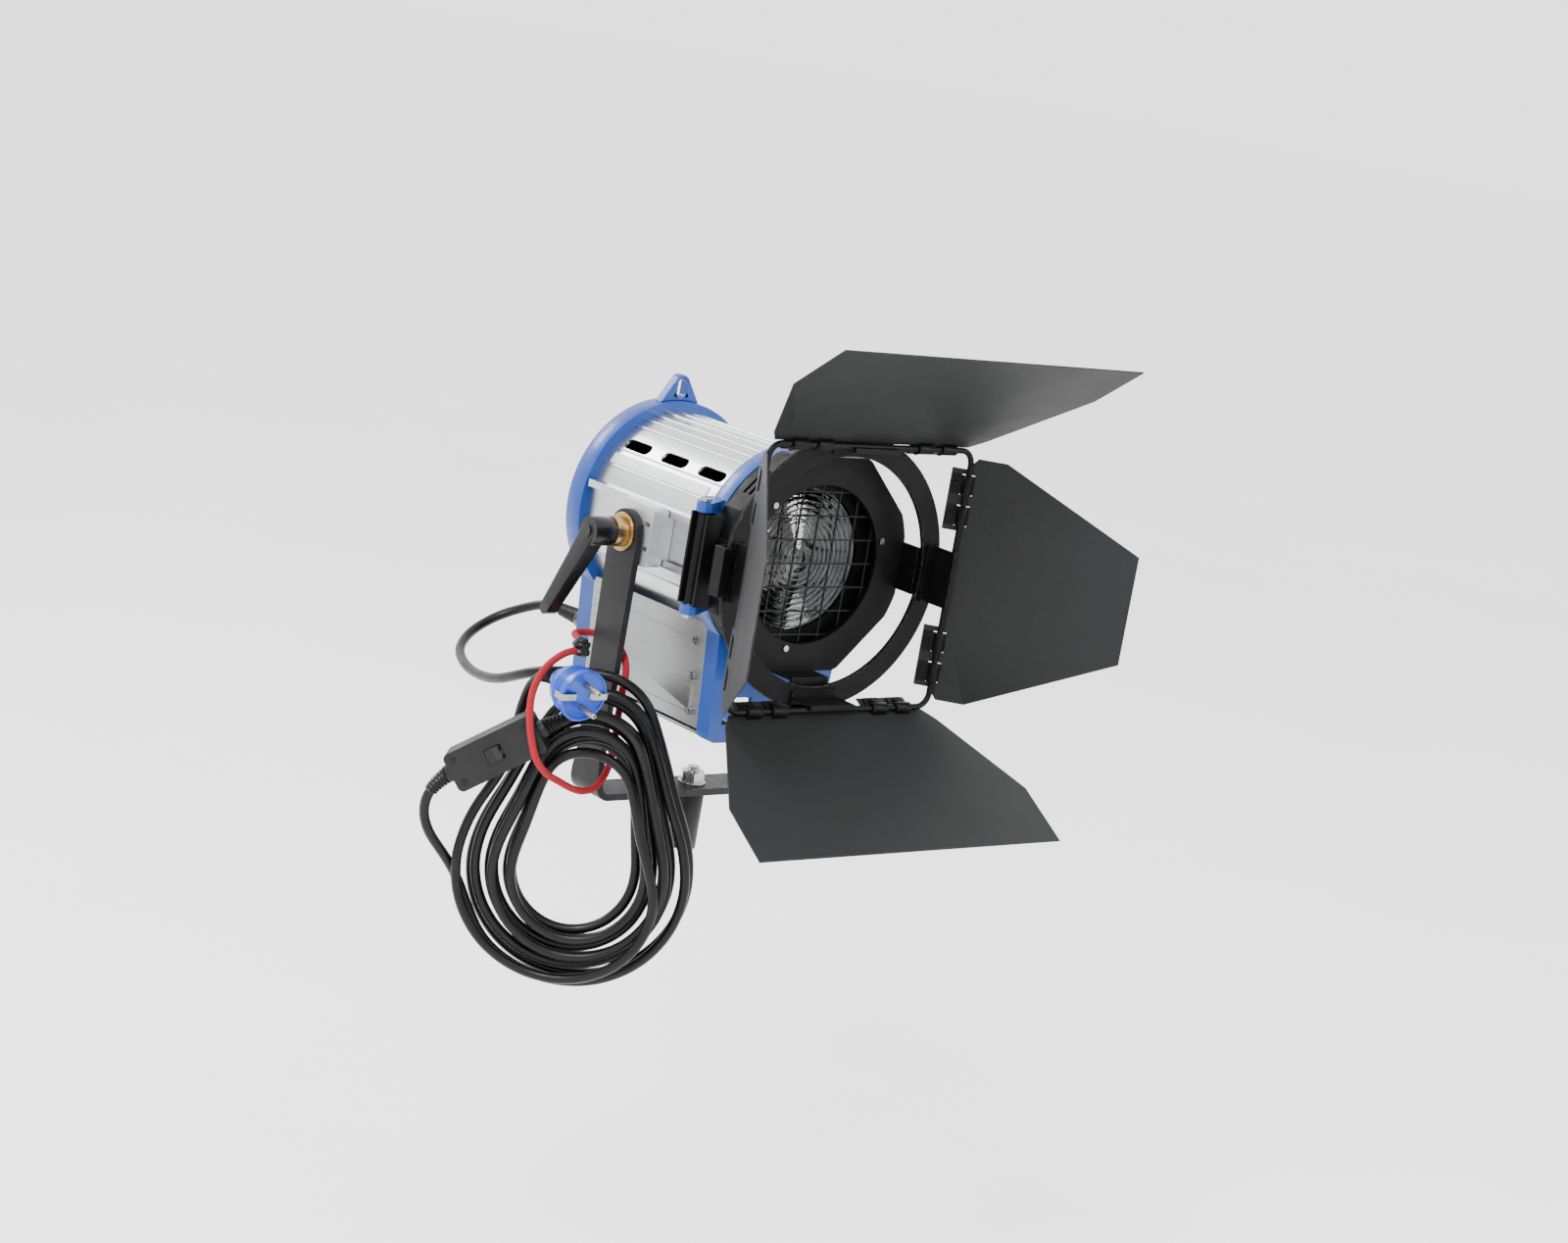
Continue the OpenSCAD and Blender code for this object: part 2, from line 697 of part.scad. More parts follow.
module tie_toggle() color(black) at_coil() translate([-24, 4, -94]) cylinder(r = 8, h = 14, center = true);

yoke_strap();
spigot_socket();
socket_bolt();
clamp_washers();
lock_screw();
lever_insert();
lever_handle();
tube_shell();
side_rails();
label_plate();
front_casting();
rear_casting();
safety_eye();
rear_cover();
side_panels();
panel_screws();
base_floor();
pivot_block_left();
pivot_block_right();
pivot_studs();
friction_washers();
hinge_pin();
cable_gland();
strain_relief();
guide_rods();
focus_spindle();
lamp_carriage();
reflector();
lamp_holder();
bulb();
focus_knob();
door_latch();
door_frame();
hinge_channel();
lens();
lens_ring();
wire_guard();
guard_screws();
claws();
top_latch();
barn_ring();
ring_brackets();
rod_frame();
leaf_top();
straps_top();
leaf_right();
straps_right();
leaf_bottom();
straps_bottom();
leaf_left();
straps_left();
lamp_lead();
cable_coil();
switch_box();
box_screws();
switch_rocker();
plug_body();
plug_pins();
tie_cord();
tie_toggle();
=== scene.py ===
"""Looks for the studio fresnel spotlight: cords, glass and materials around the CAD frame.

Metres, in the part's own frame: +Z up the yoke, the lens facing -Y, the origin at the mouth of
the spigot socket.
"""

import math

import bmesh
import bpy
import numpy as np
from mathutils import Matrix, Vector


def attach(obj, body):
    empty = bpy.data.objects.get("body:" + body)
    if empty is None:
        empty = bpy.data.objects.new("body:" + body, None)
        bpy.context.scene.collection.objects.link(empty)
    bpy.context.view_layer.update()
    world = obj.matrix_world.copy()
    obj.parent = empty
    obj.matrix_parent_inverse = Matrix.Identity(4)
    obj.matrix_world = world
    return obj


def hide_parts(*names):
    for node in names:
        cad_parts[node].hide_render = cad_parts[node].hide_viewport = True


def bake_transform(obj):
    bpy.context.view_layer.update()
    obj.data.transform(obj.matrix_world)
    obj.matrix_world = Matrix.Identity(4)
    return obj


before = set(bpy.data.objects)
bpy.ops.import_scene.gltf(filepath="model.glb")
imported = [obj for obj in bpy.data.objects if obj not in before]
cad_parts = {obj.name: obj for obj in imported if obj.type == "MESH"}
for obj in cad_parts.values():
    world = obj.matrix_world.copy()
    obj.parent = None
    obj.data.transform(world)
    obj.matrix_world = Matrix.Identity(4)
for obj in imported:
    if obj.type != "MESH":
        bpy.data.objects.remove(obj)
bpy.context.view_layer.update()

MM = 0.001
PIVOT_Z = 277 * MM
CABLE_D = 8.5 * MM
TIE_D = 6 * MM


# ---- the camera, at the photograph's viewing angle ----

CAMERA_AT = (-1.5772, -1.8577, 0.7170)
CAMERA_RIGHT = (0.7596, -0.6288, 0.1659)
CAMERA_UP = (0.0068, 0.2628, 0.9648)
CAMERA_AHEAD = (0.6503, 0.7318, -0.2039)
FOCAL_MM = 67.44
SENSOR_MM = 36


def make_camera():
    data = bpy.data.cameras.new("camera")
    data.sensor_width = SENSOR_MM
    data.lens = FOCAL_MM
    camera = bpy.data.objects.new("camera", data)
    axes = Matrix((CAMERA_RIGHT, CAMERA_UP, [-v for v in CAMERA_AHEAD])).transposed()
    camera.matrix_world = Matrix.Translation(CAMERA_AT) @ axes.to_4x4()
    bpy.context.scene.collection.objects.link(camera)
    bpy.context.scene.camera = camera


make_camera()


# ---- frames of the coil and of what hangs on it ----

PLUG_AT = (-0.036, -0.030, -0.115)
TOGGLE_AT = (-0.024, 0.004, -0.094)


def turned(degrees, axis):
    return Matrix.Rotation(math.radians(degrees), 4, axis)


COIL = Matrix.Translation((-0.134, -0.030, PIVOT_Z)) @ turned(-42, "Z")
PLUG = COIL @ Matrix.Translation(PLUG_AT) @ turned(-50, "Z") @ turned(96, "Y")
HEAD = Matrix.Translation((0, 0, PIVOT_Z))


def from_coil(points):
    return [tuple(COIL @ Vector(p)) for p in points]


def mm(points):
    return [tuple(v * MM for v in p) for p in points]


# ---- curves ----

ROUTE_STEP = 0.004
TIE_CURVE_STEP, TIE_STEP = 0.002, 0.0025
RELAX_TIMES = 5


def blend_between(a, b, t):
    return a + (b - a) * t


def ease(t):
    t = min(max(t, 0), 1)
    return t * t * (3 - 2 * t)


def curve_through(points, step):
    """A centripetal Catmull-Rom curve through the points."""
    p = [np.array(v, float) for v in points]
    p = [2 * p[0] - p[1]] + p + [2 * p[-1] - p[-2]]
    out = []
    for a, b, c, d in zip(p, p[1:], p[2:], p[3:]):
        t1 = np.linalg.norm(b - a) ** 0.5
        t2 = t1 + np.linalg.norm(c - b) ** 0.5
        t3 = t2 + np.linalg.norm(d - c) ** 0.5
        count = max(2, round(float(np.linalg.norm(c - b)) / step))
        for t in np.linspace(t1, t2, count, endpoint=False):
            ab = ((t1 - t) * a + t * b) / t1
            bc = ((t2 - t) * b + (t - t1) * c) / (t2 - t1)
            cd = ((t3 - t) * c + (t - t2) * d) / (t3 - t2)
            abc = ((t2 - t) * ab + t * bc) / t2
            bcd = ((t3 - t) * bc + (t - t1) * cd) / (t3 - t1)
            out.append(((t2 - t) * abc + (t - t1) * bcd) / (t2 - t1))
    out.append(p[-2])
    return np.array(out)


def even_steps(points, step):
    """The same line, with its points an equal step apart."""
    along = np.r_[0, np.cumsum(np.linalg.norm(np.diff(points, axis=0), axis=1))]
    stops = np.linspace(0, along[-1], round(float(along[-1]) / step) + 1)
    return np.array([np.interp(stops, along, points[:, k]) for k in range(3)]).T


def relaxed(points, times):
    """The line after its small kinks are averaged out, with its end points kept."""
    p = points.copy()
    for _ in range(times):
        p[2:-2] = 0.25 * p[1:-3] + 0.5 * p[2:-2] + 0.25 * p[3:-1]
    return p


def smooth_route(points):
    return relaxed(even_steps(curve_through(points, ROUTE_STEP), ROUTE_STEP), RELAX_TIMES)


# ---- meshes ----

SHARP_DEGREES = 35
POLE_R = 0.00005


def new_object(name, mesh_maker, matrix=None):
    """A smooth-shaded object from what mesh_maker draws, its mesh moved by the matrix."""
    mesh = bpy.data.meshes.new(name)
    bm = bmesh.new()
    mesh_maker(bm)
    bm.normal_update()
    bm.to_mesh(mesh)
    bm.free()
    for polygon in mesh.polygons:
        polygon.use_smooth = True
    mesh.set_sharp_from_angle(angle=math.radians(SHARP_DEGREES))
    if matrix is not None:
        mesh.transform(matrix)
    obj = bpy.data.objects.new(name, mesh)
    bpy.context.scene.collection.objects.link(obj)
    return obj


def skin_rings(bm, rings):
    """Faces between rings of points, capped at both ends, with UVs: ring counts, part of a turn."""
    uv = bm.loops.layers.uv.new("along")
    made = [[bm.verts.new(p) for p in ring] for ring in rings]
    sides = len(made[0])
    for i, (a, b) in enumerate(zip(made, made[1:])):
        for k in range(sides):
            m = (k + 1) % sides
            face = bm.faces.new((a[k], a[m], b[m], b[k]))
            spots = ((i, k), (i, k + 1), (i + 1, k + 1), (i + 1, k))
            for loop, (along, around) in zip(face.loops, spots):
                loop[uv].uv = (along, around / sides)
    bm.faces.new(made[0][::-1])
    bm.faces.new(made[-1])


def round_angles(sides):
    return [2 * math.pi * k / sides for k in range(sides)]


def sweep(bm, points, radius_at, sides):
    """A tube along the points, turning as little as it can; radius_at takes the distance along."""
    p = np.asarray(points, float)
    ahead = np.gradient(p, axis=0)
    ahead /= np.linalg.norm(ahead, axis=1)[:, None]
    along = np.r_[0, np.cumsum(np.linalg.norm(np.diff(p, axis=0), axis=1))]
    side = np.cross(ahead[0], (0.3, 0.2, 0.93))
    rings = []
    for point, way, where in zip(p, ahead, along):
        side = side - way * side.dot(way)
        side /= np.linalg.norm(side)
        up = np.cross(way, side)
        r = radius_at(where)
        rings.append(
            [point + r * (math.cos(t) * side + math.sin(t) * up) for t in round_angles(sides)]
        )
    skin_rings(bm, rings)


def revolve(bm, profile, sides):
    """Turns a profile of (radius, height) about Z. A radius of 0 becomes POLE_R."""
    rings = []
    for radius, height in profile:
        r = max(radius, POLE_R)
        rings.append([(r * math.cos(t), r * math.sin(t), height) for t in round_angles(sides)])
    skin_rings(bm, rings)


def arc(cx, cy, r, start, end, count):
    """Points of a profile on an arc, angles in degrees."""
    turns = [math.radians(blend_between(start, end, i / count)) for i in range(count + 1)]
    return [(cx + r * math.cos(t), cy + r * math.sin(t)) for t in turns]


# ---- the three cords ----

# the lamp lead from its strain relief to the top of the coil, as in the part's source
LEAD_ROUTE = mm([
    (-48, 156, 169), (-48, 176, 168), (-55, 197, 160), (-75, 213, 147), (-101, 211, 134),
    (-123, 193, 125), (-138, 165, 121), (-149, 134, 121), (-158, 102, 125), (-165, 70, 133),
    (-168, 42, 144), (-165, 18, 154),
])
# in the coil's frame, from its bottom up its loose outer strand, over and into the switch
LEAD_TAIL = mm([
    (-98, 0, -300), (-106, -4, -288), (-114, -9, -277), (-122, -14, -266), (-128, -19, -250),
    (-128, -23, -236), (-123, -26, -223), (-112.4, -27, -210.5),
])
# out of the switch and up to the first turn of the coil's front layer
MAINS_START = mm([(-39.6, -27, -157.5), (-33, -27, -153), (-16, -27, -143)])
# from the coil's last turn up its left side
MAINS_TAIL = mm([(-67, 2, -180), (-65, 4, -158)])
# the elastic tie from its toggle over the switch, through the coil and round the yoke arm,
# as in the part's source
TIE_ROUTE = mm([
    (-26, 2, -98), (-31, -8, -97), (-39, -22, -100), (-48, -36, -110), (-53, -44, -127),
    (-52, -47, -146), (-48, -47, -164), (-42, -46, -180), (-33, -37, -193), (-23, -25, -201),
    (-13, -14, -208), (-4, -3, -212), (5, 8, -210), (12, 17, -197), (14, 19, -174),
    (14, 19, -150), (14, 21, -130), (14, 27, -114), (10, 37, -104), (2, 48, -98), (-9, 57, -95),
    (-20, 61, -94), (-30, 57, -94), (-34, 48, -94), (-31, 36, -94), (-27, 23, -94), (-24, 8, -94),
])

# the coil's shape, a hanging egg of two arcs: a value at its inside, and what its outside adds
TOP_ARC_R = (0.0365, 0.0125)
TOP_ARC_Z = (-0.216, 0.049)
LOW_ARC_R = (0.046, 0.050)
LOW_ARC_Z = -0.282
# where the top arc ends and the low one starts, in turns from the top
SHOULDER, HIP = 0.14, 0.24

# how the cords are wound: turns are counted from the top, and a strand's place is 0 at the
# coil's inside and 1 at its outside
LAYER = 9 * MM
PITCH = 0.305
STEPS_PER_TURN = 20
LEAD_TURNS = 6.6
LEAD_INNERMOST_TURN = 3.35
LEAD_INNERMOST_OUT = 0.02
LEAD_EASE_SQUARED = 0.02
LEAD_CROSSOVER = 0.4
MAINS_TURNS = 2.8
MAINS_INNERMOST_TURN = 2
MAINS_INNERMOST_OUT = 0.04
MAINS_PITCH = 0.3
MAINS_OUTWARDS, MAINS_OUTWARDS_TURNS = 0.99, 0.66
HUMP, HUMP_STARTS, HUMP_ENDS, HUMP_SLOPE = 0.0097, 1.97, 2.36, 0.2
SWITCH_STAND_OFF, SWITCH_STAND_OFF_TURNS = 0.016, 0.22
SINK, SINK_STARTS, SINK_TURNS = 0.010, 2.69, 0.14


def turn_point(turns, out, y):
    """A point on the coil, at so many turns clockwise from the top and so far out."""
    top_r, top_z, low_r = (
        inside + more * out for inside, more in (TOP_ARC_R, TOP_ARC_Z, LOW_ARC_R)
    )
    tilt = math.asin((low_r - top_r) / (top_z - LOW_ARC_Z))
    part = turns % 1
    side = 1 if part <= 0.5 else -1
    part = min(part, 1 - part)
    if part < SHOULDER:
        angle = math.pi / 2 - (math.pi / 2 - tilt) * part / SHOULDER
        x, z = top_r * math.cos(angle), top_z + top_r * math.sin(angle)
    elif part < HIP:
        t = (part - SHOULDER) / (HIP - SHOULDER)
        x = blend_between(top_r, low_r, t) * math.cos(tilt)
        z = blend_between(top_z + top_r * math.sin(tilt), LOW_ARC_Z + low_r * math.sin(tilt), t)
    else:
        angle = tilt - (math.pi / 2 + tilt) * (part - HIP) / (0.5 - HIP)
        x, z = low_r * math.cos(angle), LOW_ARC_Z + low_r * math.sin(angle)
    return side * x, y, z


def winding(turns, place):
    """Points of a winding from the top; place(turn) says how far out and how deep it lies."""
    count = round(turns * STEPS_PER_TURN)
    stops = [turns * i / count for i in range(count + 1)]
    return [turn_point(t, *place(t)) for t in stops]


def lead_place(t):
    """Inwards in the back layer, then outwards in the middle one."""
    past = t - LEAD_INNERMOST_TURN
    out = LEAD_INNERMOST_OUT + PITCH * math.sqrt(past * past + LEAD_EASE_SQUARED)
    return out, LAYER * (1 - ease(past / LEAD_CROSSOVER + 0.5))


def mains_place(t):
    """Inwards in the front layer, outwards over it in a low hump, then into the middle layer."""
    past = t - MAINS_INNERMOST_TURN
    out = MAINS_INNERMOST_OUT + MAINS_PITCH * max(0, -past)
    out += MAINS_OUTWARDS * ease(past / MAINS_OUTWARDS_TURNS)
    hump = HUMP * ease((t - HUMP_STARTS) / HUMP_SLOPE)
    hump *= 1 - ease((t - HUMP_ENDS) / HUMP_SLOPE)
    from_switch = SWITCH_STAND_OFF * (1 - ease(t / SWITCH_STAND_OFF_TURNS))
    return out, -LAYER - from_switch - hump + SINK * ease((t - SINK_STARTS) / SINK_TURNS)


# the bend over into the back of the plug: the plug's own axis and the way up from it, in the
# coil's frame
PLUG_AHEAD = np.array((0.639, -0.762, -0.105))
PLUG_RISE = np.array((0.0674, -0.0805, 0.9945))
PLUG_BEND_R = 0.039
PLUG_BEND_DEGREES = 88
PLUG_BEND_POINTS = 5


def plug_arc():
    points = []
    for t in np.linspace(math.radians(PLUG_BEND_DEGREES), 0, PLUG_BEND_POINTS):
        back = math.sin(t) * PLUG_AHEAD + (1 - math.cos(t)) * PLUG_RISE
        points.append(tuple(np.array(PLUG_AT) - PLUG_BEND_R * back))
    return points


def tube_object(name, path, diameter, sides):
    return new_object(name, lambda bm: sweep(bm, path, lambda s: diameter / 2, sides))


lead_path = smooth_route(LEAD_ROUTE + from_coil(winding(LEAD_TURNS, lead_place) + LEAD_TAIL))
mains_path = smooth_route(
    from_coil(MAINS_START + winding(MAINS_TURNS, mains_place) + MAINS_TAIL + plug_arc())
)
tie_path = even_steps(curve_through(from_coil(TIE_ROUTE), TIE_CURVE_STEP), TIE_STEP)

lamp_cord = tube_object("lamp_cord", lead_path, CABLE_D, sides=14)
mains_cord = tube_object("mains_cord", mains_path, CABLE_D, sides=14)
tie_loop = tube_object("tie_loop", tie_path, TIE_D, sides=16)
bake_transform(lamp_cord)
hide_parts("lamp_lead", "cable_coil")
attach(mains_cord, "yoke")
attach(tie_loop, "yoke")
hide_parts("tie_cord")


# ---- pieces on the cords ----

BOOT_STEP = 0.0008
BOOT_TIP_R = 5.1 * MM


def boot_radius(thick, thin, reach, rib=0.5 * MM, pitch=3.2 * MM):
    """A tapered sleeve's radius, with shallow rings moulded round it."""
    return lambda s: blend_between(thick, thin, s / reach) + rib * math.cos(2 * math.pi * s / pitch)


def boot(name, path, reach, thick):
    """A tapered sleeve over the start of a path, which it bends with."""
    start = even_steps(np.asarray(path[: round(reach / ROUTE_STEP) + 2]), BOOT_STEP)
    start = start[: round(reach / BOOT_STEP)]
    radius_at = boot_radius(thick, BOOT_TIP_R, reach)
    piece = new_object(name, lambda bm: sweep(bm, start, radius_at, sides=20))
    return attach(piece, "yoke")


boot_in = boot("boot_switch_in", lead_path[::-1], 22 * MM, 6.8 * MM)
boot_out = boot("boot_switch_out", mains_path, 20 * MM, 6.6 * MM)
boot_plug = boot("boot_plug", mains_path[::-1], 22 * MM, 7.4 * MM)


def relief_mesh(bm):
    """The gland's tapered relief, slit into rings, along Z from the gland's cap."""
    reach, rings = 31 * MM, 62
    heights = [reach * i / rings for i in range(rings + 1)]
    radius_at = boot_radius(7.0 * MM, 5.2 * MM, reach, rib=0.55 * MM, pitch=4.1 * MM)
    profile = [(0, 0)] + [(radius_at(h), h) for h in heights] + [(4.3 * MM, reach)]
    revolve(bm, profile, sides=40)


relief = new_object(
    "gland_relief",
    relief_mesh,
    Matrix.Translation((-0.048, 0.125, 0.169)) @ turned(-90, "X"),
)
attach(relief, "head")
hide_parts("strain_relief")


def plug_mesh(bm):
    """The moulded plug along Z: neck, shoulder, ribbed grip and the rim round its sunk face."""
    grip_r, rib, pitch = 20 * MM, 0.5 * MM, 2 * MM
    heights = [h * MM for h in np.arange(22.5, 31.6, 0.25)]
    ribs = [(grip_r - rib * (1 + math.cos(2 * math.pi * h / pitch)), h) for h in heights]
    profile = (
        mm([(0, 0), (7, 0), (8, 0.8), (9.5, 6), (12, 13.5), (13.5, 14)])
        + arc(15.5 * MM, 15.6 * MM, 1.6 * MM, -90, -20, 4)
        + mm([(18.2, 19), (19.2, 21.8)])
        + ribs
        + mm([(19.2, 32), (19.2, 33.2), (20.6, 33.8), (21.3, 34.4), (21.5, 35.2), (21.5, 39.2)])
        + mm([(21, 39.9), (19.8, 40), (19.4, 39.6), (19.2, 38.4), (18.6, 38.1), (0, 38.1)])
    )
    revolve(bm, profile, sides=72)


plug = new_object("plug_shell", plug_mesh, PLUG)
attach(plug, "yoke")
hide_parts("plug_body")


def add_part(bm, part_maker, matrix=None):
    """Adds what part_maker draws to a mesh that is being made."""
    part = bmesh.new()
    part_maker(part)
    if matrix is not None:
        part.transform(matrix)
    piece = bpy.data.meshes.new("part")
    part.to_mesh(piece)
    part.free()
    bm.from_mesh(piece)
    bpy.data.meshes.remove(piece)


def strip_mesh(bm, path, width, thick):
    """A flat strip bent along a path of (out, height), with its width along X."""
    rings = []
    for i, (out, height) in enumerate(path):
        before, after = path[max(i - 1, 0)], path[min(i + 1, len(path) - 1)]
        way = Vector((after[0] - before[0], after[1] - before[1])).normalized()
        low = (out + way.y * thick / 2, height - way.x * thick / 2)
        high = (out - way.y * thick / 2, height + way.x * thick / 2)
        half = width / 2
        rings.append([(-half, *low), (half, *low), (half, *high), (-half, *high)])
    skin_rings(bm, rings)


def contacts_mesh(bm):
    """The plug's two round pins with sunk ends, and its two sprung earth strips."""
    pin = mm([
        (0, 37), (2.4, 37), (2.4, 57.6), (2.2, 58.4), (1.7, 58.9), (1.3, 58.9), (1.1, 58.5),
        (1, 57), (0, 56.8),
    ])
    strip = mm([
        (21.9, 31), (21.9, 39.4), (21.5, 40.5), (20.4, 41), (11, 41.3), (8.2, 40.4), (7, 38.4),
    ])
    pin_off_axis, strip_width, strip_thick = 9.5 * MM, 5.2 * MM, 0.9 * MM
    for side in (-1, 1):
        pin_at = Matrix.Translation((side * pin_off_axis, 0, 0))
        add_part(bm, lambda part: revolve(part, pin, sides=24), pin_at)
        strip_at = turned(90 - 90 * side, "Z")
        add_part(bm, lambda part: strip_mesh(part, strip, strip_width, strip_thick), strip_at)


contacts = new_object("plug_contacts", contacts_mesh, PLUG)
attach(contacts, "yoke")
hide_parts("plug_pins")


def toggle_mesh(bm):
    """The tie's cord lock: a turned barrel with a waist and a rounded press button."""
    profile = (
        mm([(0, -7), (5, -7)])
        + arc(6 * MM, -5 * MM, 2 * MM, -90, 0, 5)
        + arc(8.8 * MM, -1 * MM, 2.2 * MM, 235, 125, 6)
        + arc(6.2 * MM, 2.6 * MM, 1.4 * MM, 0, 90, 4)
        + mm([(5.2, 4.1), (5.2, 5.4)])
        + arc(3.6 * MM, 5.4 * MM, 1.6 * MM, 0, 90, 4)
        + mm([(0, 7)])
    )
    revolve(bm, profile, sides=40)


toggle = new_object("tie_lock", toggle_mesh, COIL @ Matrix.Translation(TOGGLE_AT))
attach(toggle, "yoke")
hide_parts("tie_toggle")


# ---- glass and what is behind it ----

LENS_ZONES = 11
LENS_STEPPED_R = 64 * MM
DOME_R = 7 * MM
CREST_Z, CREST_DROP = 89.5 * MM, 2.6 * MM
DOME_FALL, STEP_FALL = 0.9 * MM, 2.8 * MM
STEP_LIP = 0.2 * MM


def lens_mesh(bm):
    """The stepped lens along Z: a flat back, a rim, and convex zones that fall away outwards."""
    width = (LENS_STEPPED_R - DOME_R) / LENS_ZONES
    edges = [0, DOME_R] + [DOME_R + width * (i + 1) for i in range(LENS_ZONES)]
    profile = mm([(0, 78.5), (69.4, 78.5), (70, 79), (70, 82), (69.4, 82.5), (64.2, 82.5)])
    for i in range(LENS_ZONES, -1, -1):
        inner, outer = edges[i], edges[i + 1]
        crest = CREST_Z - CREST_DROP * inner / LENS_STEPPED_R
        fall = DOME_FALL if i == 0 else STEP_FALL * (0.45 + 0.55 * inner / LENS_STEPPED_R)
        for t in (1, 0.75, 0.5, 0.25, 0):
            r = blend_between(inner, outer, t)
            lip = STEP_LIP if t == 0 and i else 0
            profile.append((r + lip, crest - fall * (0.6 * t + 0.4 * t * t)))
    revolve(bm, profile, sides=128)


lens_glass = new_object("lens_stepped", lens_mesh, HEAD @ turned(90, "X"))
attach(lens_glass, "door")
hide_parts("lens")


def bulb_mesh(bm):
    """The quartz envelope: pinched foot, straight wall, domed top with its sealing tip."""
    profile = (
        mm([(0, -38), (6.4, -38), (7, -37.4), (7, -31), (8.2, -28), (11, -24.6), (12.3, -20)])
        + mm([(12.5, -14), (12.5, 2)])
        + arc(3.5 * MM, 4 * MM, 9 * MM, 0, 80, 8)
        + mm([(3.4, 13.6), (2.4, 15.2), (1.6, 17.4), (0, 18)])
    )
    revolve(bm, profile, sides=48)


def filament_mesh(bm):
    """The coiled filament across its two supports."""
    loops, steps_per_loop, reach, loop_r = 11, 12, 13 * MM, 1.6 * MM
    filament_r, support_r = 0.35 * MM, 0.6 * MM
    steps = loops * steps_per_loop
    coil = []
    for i in range(steps + 1):
        turn = 2 * math.pi * i / steps_per_loop
        along = reach * (i / steps - 0.5)
        coil.append((along, loop_r * math.cos(turn), loop_r * math.sin(turn)))
    left, right = (
        mm([(s * 6.5, 0, 0), (s * 6.6, 0, -6), (s * 5, 0, -22), (s * 4.6, 0, -36)])
        for s in (-1, 1)
    )
    for line, wire_r in ((coil, filament_r), (left, support_r), (right, support_r)):
        add_part(bm, lambda part: sweep(part, line, lambda s: wire_r, sides=6))


def shade_disc_mesh(bm):
    """A pressed disc behind the vents that puts painted shade where they show the inside: a flat
    disc with ring beads, along Z.
    """
    height, pitch, outermost = 0.8, 11, 76
    beads = mm(
        (r, height * (1 - math.cos(2 * math.pi * r / pitch))) for r in range(outermost, 0, -1)
    )
    rim = mm([(0, 2.8), (79.8, 2.8), (80.4, 2.2), (80.4, 0.6), (79.8, 0)])
    revolve(bm, rim + beads + [(0, 0)], sides=64)


# the disc is painted shade: a dark sheet behind the rear cover's vents
shade_disc = new_object(
    "painted_shade_disc",
    shade_disc_mesh,
    HEAD @ Matrix.Translation((0, 0.090, 0)) @ turned(-90, "X"),
)
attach(shade_disc, "head")

BULB = HEAD @ Matrix.Translation((0, -0.004, 0))
envelope = new_object("bulb_envelope", bulb_mesh, BULB)
filament = new_object("bulb_filament", filament_mesh, BULB)
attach(envelope, "carriage")
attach(filament, "carriage")
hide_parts("bulb")


# ---- materials ----

UNSTRETCHED = (1, 1, 1)
COAT_ROUGHNESS = 0.18
SMUDGES_PER_PATCH = 3.1
DULLED = 0.82
# the near black of the painted shade inside the tube, and how wide it fades in
PAINTED_SHADE_INSIDE = (0.012, 0.012, 0.013)
PAINTED_SHADE_EDGE = 0.0004
DUST_ROUGHER = 0.05


def node_material(name):
    material = bpy.data.materials.new(name)
    material.use_nodes = True
    return material, material.node_tree, material.node_tree.nodes["Principled BSDF"]


def place_nodes(tree, stretch, uv=False):
    """Coordinates on the object, in metres, stretched along its axes, or the tube's own UVs."""
    coords = tree.nodes.new("ShaderNodeTexCoord")
    mapping = tree.nodes.new("ShaderNodeMapping")
    mapping.inputs["Scale"].default_value = stretch
    tree.links.new(coords.outputs["UV" if uv else "Object"], mapping.inputs["Vector"])
    return mapping.outputs["Vector"]


def noise(tree, vector, scale, detail=3.0, rough=0.55):
    node = tree.nodes.new("ShaderNodeTexNoise")
    node.inputs["Scale"].default_value = scale
    node.inputs["Detail"].default_value = detail
    node.inputs["Roughness"].default_value = rough
    tree.links.new(vector, node.inputs["Vector"])
    return node.outputs["Fac"]


def ramp(tree, fac, stops):
    """A colour ramp of (place, colour) stops."""
    node = tree.nodes.new("ShaderNodeValToRGB")
    while len(node.color_ramp.elements) < len(stops):
        node.color_ramp.elements.new(0.5)
    for element, (at, colour) in zip(node.color_ramp.elements, stops):
        element.position = at
        element.color = (*colour, 1)
    tree.links.new(fac, node.inputs["Fac"])
    return node.outputs["Color"]


def spread(tree, fac, low, high, from_low=0.3, from_high=0.7):
    """The factor's middle range spread out, or squeezed, to run from low to high."""
    node = tree.nodes.new("ShaderNodeMapRange")
    limits = {"From Min": from_low, "From Max": from_high, "To Min": low, "To Max": high}
    for socket, value in limits.items():
        node.inputs[socket].default_value = value
    tree.links.new(fac, node.inputs["Value"])
    return node.outputs["Result"]


def mixed(tree, fac, a, plain):
    """The plain colour over colour a where fac is 1."""
    node = tree.nodes.new("ShaderNodeMix")
    node.data_type = "RGBA"
    tree.links.new(fac, node.inputs["Factor"])
    tree.links.new(a, node.inputs["A"])
    node.inputs["B"].default_value = (*plain, 1)
    return node.outputs["Result"]


def product(tree, a, b):
    node = tree.nodes.new("ShaderNodeMath")
    node.operation = "MULTIPLY"
    tree.links.new(a, node.inputs[0])
    tree.links.new(b, node.inputs[1])
    return node.outputs["Value"]


def bumped(tree, height, strength, depth):
    node = tree.nodes.new("ShaderNodeBump")
    node.inputs["Strength"].default_value = strength
    node.inputs["Distance"].default_value = depth
    tree.links.new(height, node.inputs["Height"])
    return node.outputs["Normal"]


